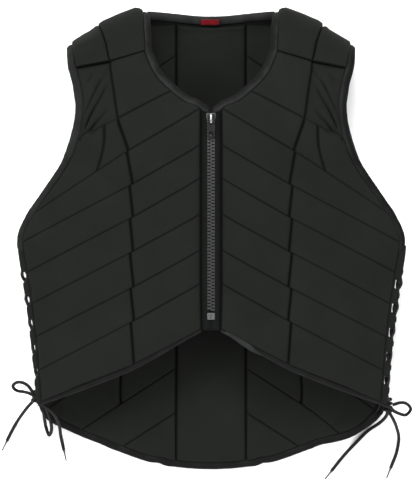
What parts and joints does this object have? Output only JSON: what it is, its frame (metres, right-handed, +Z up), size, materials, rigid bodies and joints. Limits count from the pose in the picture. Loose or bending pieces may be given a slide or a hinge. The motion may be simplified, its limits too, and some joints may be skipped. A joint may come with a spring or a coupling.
{
  "type": "equestrian body protector",
  "caption": "Padded riding vest with quilted chevron foam pads, front zip, open laced sides, bent shoulder pads and a long rounded tail, laid flat on its back.",
  "frame": {"origin": "on the floor under the middle of the vest, midway between the sides and midway along the length", "axes": "+X to the picture's right, +Y along the zip towards the collar, +Z up, away from the floor that the back lies on"},
  "size_m": [0.5528, 0.638, 0.1124],
  "materials": {
    "panel_cloth": "matt black woven cloth over foam",
    "edge_roll": "matt black edge binding",
    "edge_tape": "matt black woven tape",
    "lace_cord": "round braided cord",
    "lace_tip": "hard black tip",
    "zip_tape": "woven zip tape",
    "zip_teeth": "moulded black plastic",
    "slider_metal": "dull bright metal",
    "pull_metal": "dark grey painted metal",
    "label_cloth": "red woven tag, plain"
  },
  "bodies": {
    "protector": {"back_panel": "panel_cloth", "front_panel_left": "panel_cloth", "front_panel_right": "panel_cloth", "shoulder_left": "panel_cloth", "shoulder_right": "panel_cloth", "neck_binding": "edge_roll", "armhole_binding_left": "edge_roll", "armhole_binding_right": "edge_roll", "hem_binding_left": "edge_roll", "hem_binding_right": "edge_roll", "tail_binding": "edge_roll", "loop_tape_front_left": "edge_tape", "loop_tape_front_right": "edge_tape", "loop_tape_back_left": "edge_tape", "loop_tape_back_right": "edge_tape", "side_lace_left": "lace_cord", "side_lace_right": "lace_cord", "lace_knot_left": "lace_cord", "lace_knot_right": "lace_cord", "bow_loop_left": "lace_cord", "bow_drop_left": "lace_cord", "bow_loop_right": "lace_cord", "lace_end_left_outer": "lace_cord", "lace_end_left_inner": "lace_cord", "lace_end_right_outer": "lace_cord", "lace_end_right_inner": "lace_cord", "lace_tip_left_outer": "lace_tip", "lace_tip_left_inner": "lace_tip", "lace_tip_right_outer": "lace_tip", "lace_tip_right_inner": "lace_tip", "zip_tape_left": "zip_tape", "zip_tape_right": "zip_tape", "zip_teeth_left": "zip_teeth", "zip_teeth_right": "zip_teeth", "zip_retainer": "zip_teeth", "zip_slider": "slider_metal", "neck_label": "label_cloth"},
    "zip_pull": {"zip_pull": "pull_metal"}
  },
  "joints": [
    {"name": "pull_swing", "type": "hinge", "parent": "protector", "child": "zip_pull", "pos_m": [0, 0.1609, 0.10144], "axis": [-1, 0, 0], "range_deg": [0, 150]}
  ]
}
